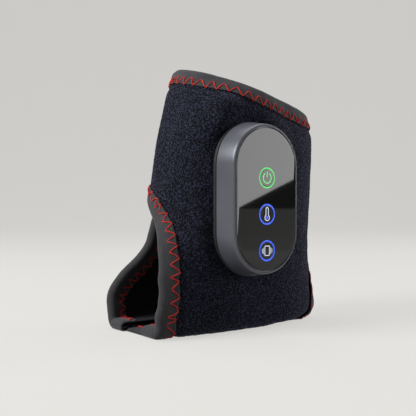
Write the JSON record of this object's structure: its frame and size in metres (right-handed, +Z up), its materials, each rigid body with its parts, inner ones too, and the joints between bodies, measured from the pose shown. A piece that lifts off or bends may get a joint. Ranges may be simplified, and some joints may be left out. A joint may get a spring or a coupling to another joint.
{
  "type": "heated ankle massager wrap",
  "caption": "Fleece ankle wrap with an open toe and heel, bound edges, a closing flap, and a pill-shaped heat and massage controller with lit round keys on its outer side",
  "frame": {"origin": "on the flat underside of the sole, under the ankle's middle", "axes": "+Z up along the leg, -X towards the toes, -Y towards the outer side of the leg, where the controller is; the wrap is for the left ankle"},
  "size_m": [0.1417, 0.0983, 0.1678],
  "materials": {
    "fleece": "brushed loop fleece over neoprene",
    "binding": "smooth folded elastic tape",
    "elastic": "finely ribbed elastic",
    "lining": "thin knitted lining",
    "hook": "moulded hook tape",
    "film": "printed heating film and its flat lead",
    "case_paint": "satin moulded plastic",
    "case_black": "fine textured plastic",
    "panel": "polished dark panel",
    "ring_green": "lit light guide",
    "ring_blue": "lit light guide",
    "board": "coated circuit board",
    "battery": "foil pouch",
    "steel": "plated steel",
    "component": "moulded component body",
    "lamp": "clear lamp body"
  },
  "bodies": {
    "wrap": {"back_shell": "case_black", "battery": "battery", "case_screw_1": "steel", "case_screw_2": "steel", "case_screw_3": "steel", "case_screw_4": "steel", "charging_socket": "steel", "clamp_plate": "case_black", "clamp_screw_1": "steel", "clamp_screw_2": "steel", "control_chip": "component", "face_panel": "panel", "film_link_strip": "film", "front_shell": "case_paint", "heat_lamp": "lamp", "heat_ring": "ring_blue", "heat_switch": "component", "heater_lead": "film", "heel_binding": "binding", "inner_heating_film": "film", "inner_lining": "lining", "inner_toe_binding": "binding", "main_board": "board", "massage_lamp": "lamp", "massage_ring": "ring_blue", "massage_switch": "component", "outer_heating_film": "film", "outer_toe_binding": "binding", "power_lamp": "lamp", "power_ring": "ring_green", "power_switch": "component", "sole_gusset": "elastic", "temperature_sensor": "component", "top_binding": "binding", "vibration_motor": "steel", "wrap_body": "fleece"},
    "closing_flap": {"closure_flap": "fleece", "flap_binding": "binding", "upper_hook_tab": "hook", "lower_hook_tab": "hook"},
    "power_button": {"power_key": "panel"},
    "heat_button": {"heat_key": "panel"},
    "massage_button": {"massage_key": "panel"},
    "motor_rotor": {"motor_weight": "steel"}
  },
  "joints": [
    {"name": "power_press", "type": "slide", "parent": "wrap", "child": "power_button", "axis": [0, 1, 0], "range_m": [0, 0.0003], "stiffness_N_per_m": 2000},
    {"name": "heat_press", "type": "slide", "parent": "wrap", "child": "heat_button", "axis": [0, 1, 0], "range_m": [0, 0.0003], "stiffness_N_per_m": 2000},
    {"name": "massage_press", "type": "slide", "parent": "wrap", "child": "massage_button", "axis": [0, 1, 0], "range_m": [0, 0.0003], "stiffness_N_per_m": 2000},
    {"name": "motor_spin", "type": "hinge", "parent": "wrap", "child": "motor_rotor", "pos_m": [-0.0095, -0.0436, 0.05556], "axis": [1, 0, 0], "continuous": true},
    {"name": "flap_open", "type": "hinge", "parent": "wrap", "child": "closing_flap", "pos_m": [-0.05128, 0.02652, 0.08553], "axis": [0.2185, -0.0391, 0.9751], "range_deg": [0, 110]}
  ]
}
